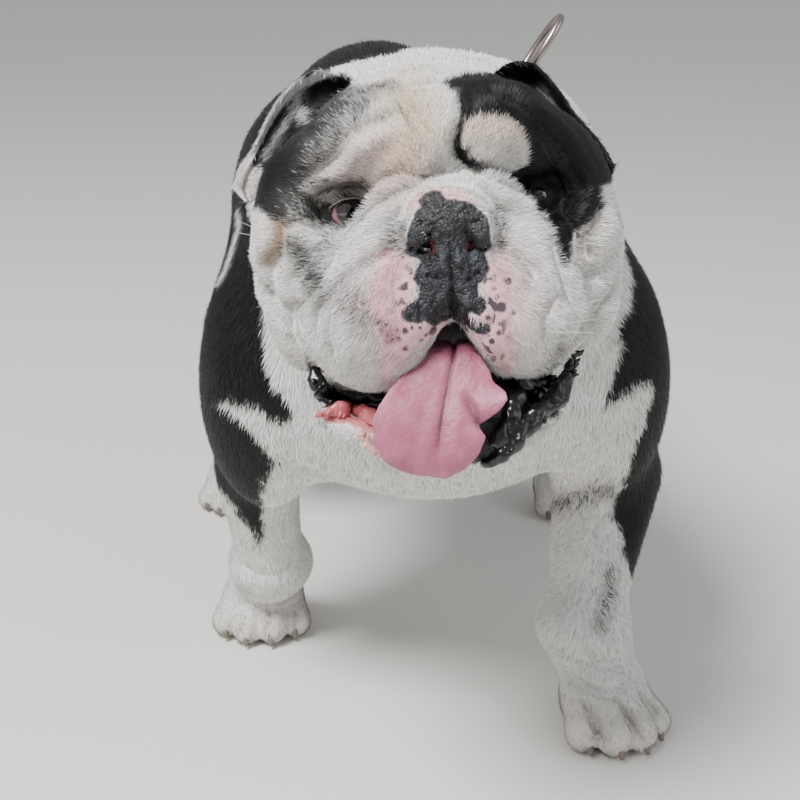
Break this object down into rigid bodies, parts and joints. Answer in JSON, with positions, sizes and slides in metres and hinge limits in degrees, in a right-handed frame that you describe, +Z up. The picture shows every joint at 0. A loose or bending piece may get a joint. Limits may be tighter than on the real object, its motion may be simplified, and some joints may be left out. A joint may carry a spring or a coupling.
{
  "type": "english bulldog",
  "caption": "Life-size english bulldog walking stance, left forefoot ahead, mouth open and tongue out, narrow collar with a raised ring.",
  "frame": {"origin": "middle of the outer box, on the ground", "axes": "+Z up; the nose points to -Y and the tail to +Y; the dog's own left side is at +X"},
  "size_m": [0.3628, 0.6982, 0.4626],
  "materials": {
    "white_coat": "short dense hair, matte",
    "black_coat": "short dense hair, soft gloss",
    "nose_leather": "pebbled, moist",
    "eye_wet": "wet and glossy",
    "tongue_flesh": "wet, finely rough",
    "lip_flesh": "wet, smooth",
    "claw_horn": "satin horn",
    "collar_leather": "satin, worn",
    "ring_metal": "tarnished, satin"
  },
  "bodies": {
    "root": {"torso": "black_coat", "tail": "black_coat", "neck": "white_coat", "head": "white_coat", "nose": "nose_leather", "lower_jaw": "white_coat", "tongue": "tongue_flesh", "eye_right": "eye_wet", "ear_right": "black_coat", "front_leg_right": "black_coat", "hind_leg_right": "black_coat", "front_paw_right": "white_coat", "hind_paw_right": "white_coat", "eye_left": "eye_wet", "ear_left": "black_coat", "front_leg_left": "black_coat", "hind_leg_left": "black_coat", "front_paw_left": "white_coat", "hind_paw_left": "white_coat", "collar": "collar_leather", "collar_ring": "ring_metal"}
  },
  "joints": []
}
